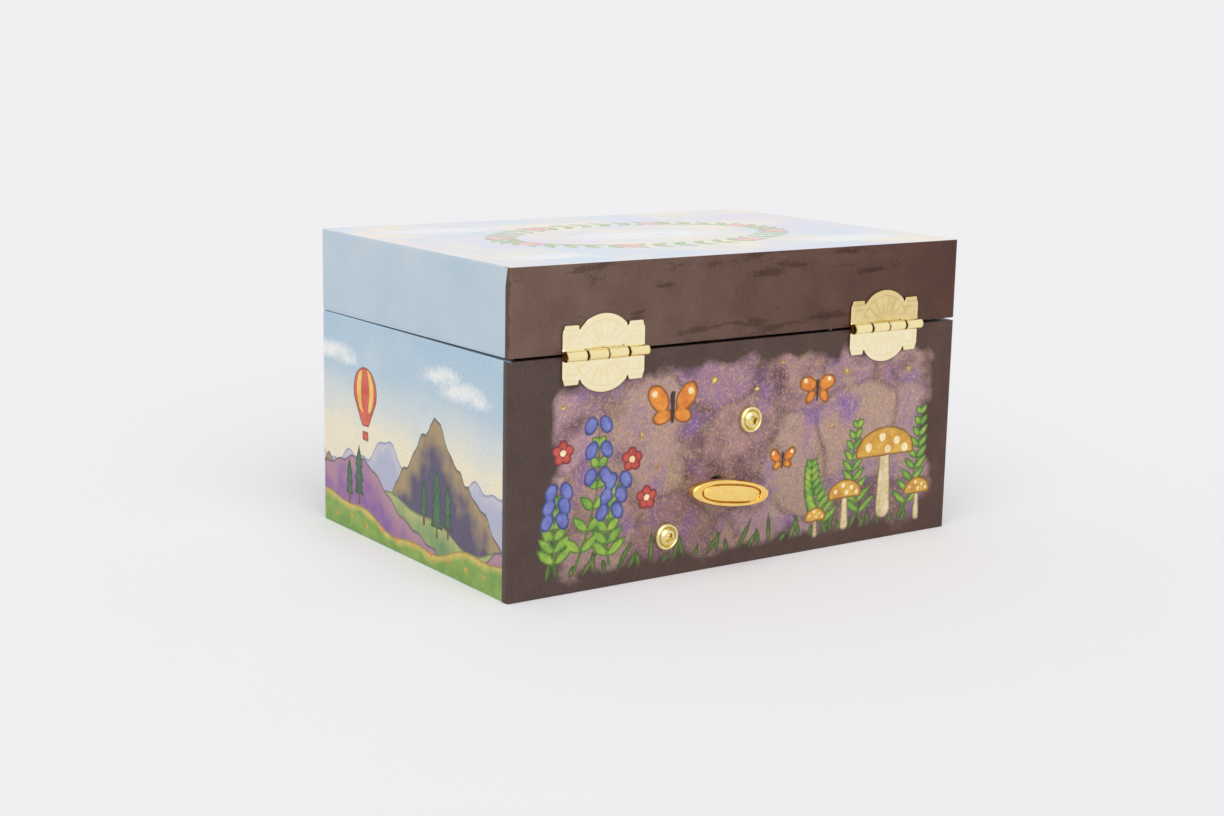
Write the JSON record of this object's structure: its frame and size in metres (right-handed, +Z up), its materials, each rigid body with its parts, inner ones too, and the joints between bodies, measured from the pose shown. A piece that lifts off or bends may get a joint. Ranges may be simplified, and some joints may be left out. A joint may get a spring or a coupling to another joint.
{
  "type": "ballerina jewellery box",
  "caption": "Hinged musical jewellery box in printed paper over board, with a wind-up comb movement, a turning ballerina on a stage, a lid mirror, a padded tray and ring rolls.",
  "frame": {"origin": "middle of the box's underside, on the surface it stands on", "axes": "+X along the length, +Y towards the back board with the hinges and the key, +Z up"},
  "size_m": [0.155, 0.111, 0.087],
  "materials": {
    "printed_paper": "coated printed paper over board, pastel sky blue",
    "brown_paper": "laminated dark brown paper over board, semi-gloss",
    "grey_board": "bare grey board",
    "velvet": "mauve velvet flock",
    "satin": "pale pink satin paper",
    "mirror_glass": "silvered glass",
    "pale_brass": "pressed and polished, pale gold",
    "yellow_brass": "polished, golden yellow",
    "steel": "bright steel",
    "zinc": "die-cast zinc, plain",
    "nylon": "moulded, natural white",
    "figure_plastic": "moulded and painted",
    "tulle": "stiffened pink net"
  },
  "bodies": {
    "case": {"base_front_board": "printed_paper", "base_back_board": "brown_paper", "base_left_board": "printed_paper", "base_right_board": "printed_paper", "base_floor_board": "grey_board", "hinge_left_lower_leaf": "pale_brass", "hinge_right_lower_leaf": "pale_brass", "hinge_left_pin": "steel", "hinge_right_pin": "steel", "stage_deck": "velvet", "stage_riser": "velvet", "stage_bush": "yellow_brass", "tray_divider": "velvet", "tray_pad": "velvet", "ring_roll_1": "velvet", "ring_roll_2": "velvet", "ring_roll_3": "velvet", "ring_roll_4": "velvet", "wall_screw_upper": "pale_brass", "wall_screw_lower": "pale_brass", "cup_washer_upper": "pale_brass", "cup_washer_lower": "pale_brass", "movement_bedplate": "zinc", "music_comb": "steel", "comb_screw_left": "steel", "comb_screw_right": "steel", "click_spring": "steel"},
    "lid": {"lid_top_board": "printed_paper", "lid_front_board": "printed_paper", "lid_back_board": "brown_paper", "lid_left_board": "printed_paper", "lid_right_board": "printed_paper", "lid_lining": "satin", "lid_mirror": "mirror_glass", "hinge_left_upper_leaf": "pale_brass", "hinge_right_upper_leaf": "pale_brass"},
    "winder": {"winding_key": "yellow_brass", "winding_arbor": "steel", "ratchet_wheel": "steel"},
    "click": {"ratchet_click": "steel"},
    "barrel": {"spring_barrel": "yellow_brass", "barrel_cover": "yellow_brass", "mainspring": "steel"},
    "cylinder": {"music_cylinder": "yellow_brass", "cylinder_arbor": "steel", "cylinder_pinion": "yellow_brass", "cylinder_gear": "nylon"},
    "idler": {"idler_arbor": "steel", "idler_pinion": "nylon", "worm_wheel": "nylon"},
    "governor": {"governor_worm": "steel", "governor_fan": "nylon"},
    "dancer": {"dancer_spindle": "steel", "spindle_pinion": "yellow_brass", "dancer_pedestal": "yellow_brass", "dancer_spring": "steel", "ballerina_figure": "figure_plastic", "ballerina_tutu": "tulle"},
    "stop": {"stop_wire": "steel"}
  },
  "joints": [
    {"name": "lid_hinge", "type": "hinge", "parent": "case", "child": "lid", "pos_m": [0, 0.0538, 0.0635], "axis": [-1, 0, 0], "range_deg": [0, 100]},
    {"name": "key_wind", "type": "hinge", "parent": "case", "child": "winder", "pos_m": [0.0102, 0.052, 0.0225], "axis": [0, -1, 0], "range_deg": [0, 2880]},
    {"name": "click_lift", "type": "hinge", "parent": "case", "child": "click", "pos_m": [0.01243, 0.0425, 0.01419], "axis": [0, 1, 0], "range_deg": [0, 12], "stiffness_Nm_per_rad": 0.0005, "deforming": ["click_spring"]},
    {"name": "cylinder_turn", "type": "hinge", "parent": "case", "child": "cylinder", "pos_m": [-0.0018, 0.02753, 0.0225], "axis": [1, 0, 0], "continuous": true},
    {"name": "barrel_turn", "type": "hinge", "parent": "case", "child": "barrel", "pos_m": [0.0102, 0.0323, 0.0225], "axis": [0, 1, 0], "continuous": true},
    {"name": "dancer_turn", "type": "hinge", "parent": "case", "child": "dancer", "pos_m": [0.0102, 0.02753, 0.0472], "axis": [0, 0, 1], "continuous": true},
    {"name": "idler_turn", "type": "hinge", "parent": "case", "child": "idler", "pos_m": [-0.02445, 0.03753, 0.0225], "axis": [1, 0, 0], "continuous": true},
    {"name": "governor_turn", "type": "hinge", "parent": "case", "child": "governor", "pos_m": [-0.03105, 0.03753, 0.0288], "axis": [0, 1, 0], "continuous": true},
    {"name": "stop_wire_lift", "type": "slide", "parent": "case", "child": "stop", "axis": [0, 0, 1], "range_m": [0, 0.0035]}
  ],
  "couplings": [
    {"joint": "barrel_turn", "follows": "cylinder_turn", "ratio": 0.33333},
    {"joint": "dancer_turn", "follows": "cylinder_turn", "ratio": -1},
    {"joint": "idler_turn", "follows": "cylinder_turn", "ratio": -3},
    {"joint": "governor_turn", "follows": "cylinder_turn", "ratio": -54},
    {"joint": "stop_wire_lift", "follows": "lid_hinge", "m_per_rad": 0.002}
  ]
}
